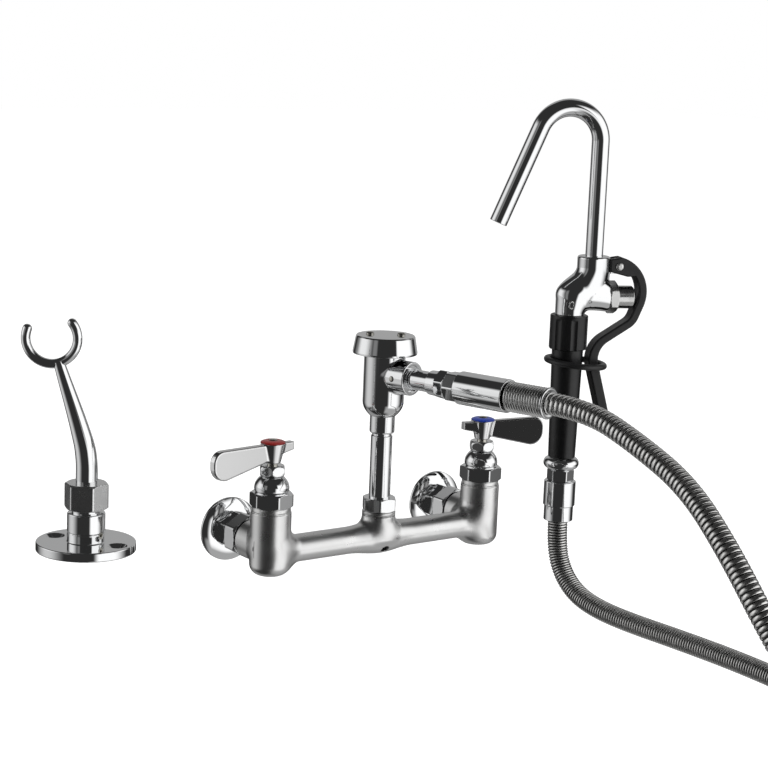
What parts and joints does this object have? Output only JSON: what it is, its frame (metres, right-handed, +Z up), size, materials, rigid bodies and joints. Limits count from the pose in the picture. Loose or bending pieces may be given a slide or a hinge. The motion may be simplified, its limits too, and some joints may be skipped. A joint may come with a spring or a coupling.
{
  "type": "pot filler faucet",
  "caption": "Wall-mounted two-handle pot filler faucet with riser, vacuum breaker, ribbed steel hose, hook-nozzle hand-piece with squeeze lever, and deck hook",
  "frame": {"origin": "on the wall plane, midway between the two threaded wall inlets, at the inlets' centre height", "axes": "+X towards the cold side (the user's right), +Y into the wall, +Z up; the user stands on the -Y side"},
  "size_m": [0.5467, 0.4966, 0.4498],
  "materials": {
    "chrome": "polished chrome plate",
    "stainless": "bright stainless steel",
    "brass": "machined brass",
    "black_rubber": "satin black rubber",
    "black_plastic": "satin black moulding",
    "white_plastic": "natural acetal",
    "hot_index": "glossy red",
    "cold_index": "glossy blue"
  },
  "bodies": {
    "fixed_assembly": {"mixer_body": "chrome", "drain_plug": "chrome", "hot_wall_flange": "chrome", "cold_wall_flange": "chrome", "hot_coupling_nut": "chrome", "cold_coupling_nut": "chrome", "hot_bonnet": "chrome", "cold_bonnet": "chrome", "hot_packing_nut": "chrome", "cold_packing_nut": "chrome", "riser_nut": "chrome", "riser_pipe": "chrome", "breaker_body": "chrome", "breaker_cap": "chrome", "outlet_adapter": "chrome", "hose_nut": "chrome", "hose_ferrule": "chrome", "hose_end_sleeve": "chrome", "handle_end_fitting": "chrome", "valve_body": "chrome", "nozzle_tube": "chrome", "actuator_nut": "chrome", "deck_flange": "chrome", "hook_nut": "chrome", "hose": "stainless", "spring_guard": "stainless", "plunger_spring": "stainless", "breaker_cap_screws": "stainless", "breaker_side_plug": "stainless", "lever_pivot_screw": "stainless", "hook_set_screw": "stainless", "hot_cartridge": "brass", "cold_cartridge": "brass", "breaker_seat": "brass", "breaker_vent_seat": "brass", "valve_seat": "brass", "grip_tube": "brass", "grip_sleeve": "black_rubber", "hot_inlet_washer": "black_rubber", "cold_inlet_washer": "black_rubber", "riser_washer": "black_rubber", "hot_packing_ring": "black_rubber", "cold_packing_ring": "black_rubber", "stem_seal": "black_rubber", "grip_collar": "black_plastic"},
    "hot_handle": {"hot_lever": "chrome", "hot_index_cap": "hot_index", "hot_handle_screw": "stainless", "hot_spindle": "brass"},
    "cold_handle": {"cold_lever": "chrome", "cold_index_cap": "cold_index", "cold_handle_screw": "stainless", "cold_spindle": "brass"},
    "float_valve": {"breaker_float": "white_plastic"},
    "hook_arm": {"hook_rod": "chrome", "hook_fork": "chrome"},
    "squeeze_handle": {"squeeze_lever": "black_plastic"},
    "plunger_assembly": {"plunger": "stainless", "valve_disc": "black_rubber"},
    "keeper_ring": {"hold_ring": "black_plastic"}
  },
  "joints": [
    {"name": "hot_handle_turn", "type": "hinge", "parent": "fixed_assembly", "child": "hot_handle", "pos_m": [-0.1016, -0.062, 0.07], "axis": [0, 0, 1], "range_deg": [0, 90]},
    {"name": "cold_handle_turn", "type": "hinge", "parent": "fixed_assembly", "child": "cold_handle", "pos_m": [0.1016, -0.062, 0.07], "axis": [0, 0, -1], "range_deg": [0, 90]},
    {"name": "float_lift", "type": "slide", "parent": "fixed_assembly", "child": "float_valve", "axis": [0, 0, 1], "range_m": [0, 0.004]},
    {"name": "hook_arm_turn", "type": "hinge", "parent": "fixed_assembly", "child": "hook_arm", "pos_m": [-0.2587, -0.0615, 0.05], "axis": [0, 0, 1], "continuous": true},
    {"name": "lever_squeeze", "type": "hinge", "parent": "fixed_assembly", "child": "squeeze_handle", "pos_m": [0.22224, -0.07994, 0.2059], "axis": [0.3811, 0.9245, 0], "range_deg": [0, 2.2], "stiffness_Nm_per_rad": 2, "springref_deg": -2.86},
    {"name": "plunger_press", "type": "slide", "parent": "fixed_assembly", "child": "plunger_assembly", "axis": [-0.9245, 0.3811, 0], "range_m": [0, 0.0011], "deforming": ["plunger_spring"]},
    {"name": "ring_lift", "type": "slide", "parent": "fixed_assembly", "child": "keeper_ring", "axis": [0, 0, 1], "range_m": [0, 0.006]}
  ],
  "couplings": [
    {"joint": "plunger_press", "follows": "lever_squeeze", "m_per_rad": 0.0264}
  ]
}
